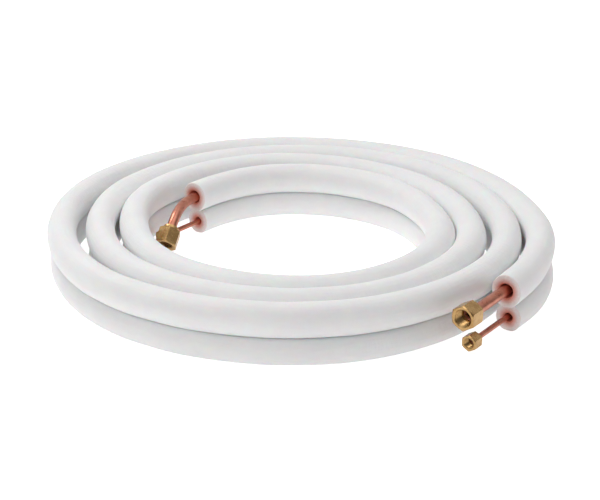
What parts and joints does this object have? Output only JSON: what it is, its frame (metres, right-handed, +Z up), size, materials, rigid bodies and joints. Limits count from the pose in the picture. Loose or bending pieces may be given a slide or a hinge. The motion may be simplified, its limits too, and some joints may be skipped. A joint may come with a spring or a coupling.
{
  "type": "mini split line set",
  "caption": "Flat coil of two insulated copper refrigerant pipes, wide suction line over narrow liquid line, with a brass flare nut on every bare pipe end.",
  "frame": {"origin": "on the floor under the middle of the coil, at the centre of the bounding box's bottom", "axes": "+Z up through the coil's eye, across its turns; the outer pipe ends lie at +X and point to -Y"},
  "size_m": [0.6524, 0.633, 0.0702],
  "materials": {
    "white_foam": "white closed-cell foam with a fine embossed skin",
    "copper": "soft drawn bare copper, satin",
    "brass": "machined tan brass"
  },
  "bodies": {
    "coil": {"suction_insulation": "white_foam", "liquid_insulation": "white_foam", "suction_pipe": "copper", "liquid_pipe": "copper"},
    "suction_nut_outer": {"suction_flare_nut_outer": "brass"},
    "suction_nut_inner": {"suction_flare_nut_inner": "brass"},
    "liquid_nut_outer": {"liquid_flare_nut_outer": "brass"},
    "liquid_nut_inner": {"liquid_flare_nut_inner": "brass"}
  },
  "joints": [
    {"name": "suction_outer_nut_spin", "type": "hinge", "parent": "coil", "child": "suction_nut_outer", "pos_m": [0.30668, -0.1145, 0.0511], "axis": [0, -1, 0], "continuous": true},
    {"name": "suction_inner_nut_spin", "type": "hinge", "parent": "coil", "child": "suction_nut_inner", "pos_m": [-0.15145, -0.0731, 0.0361], "axis": [0.2164, -0.7349, -0.6427], "continuous": true},
    {"name": "liquid_outer_nut_spin", "type": "hinge", "parent": "coil", "child": "liquid_nut_outer", "pos_m": [0.30661, -0.1065, 0.01588], "axis": [0, -1, 0], "continuous": true},
    {"name": "liquid_inner_nut_spin", "type": "hinge", "parent": "coil", "child": "liquid_nut_inner", "pos_m": [-0.17418, -0.0491, 0.01588], "axis": [-0.0205, -0.9998, 0], "continuous": true}
  ]
}
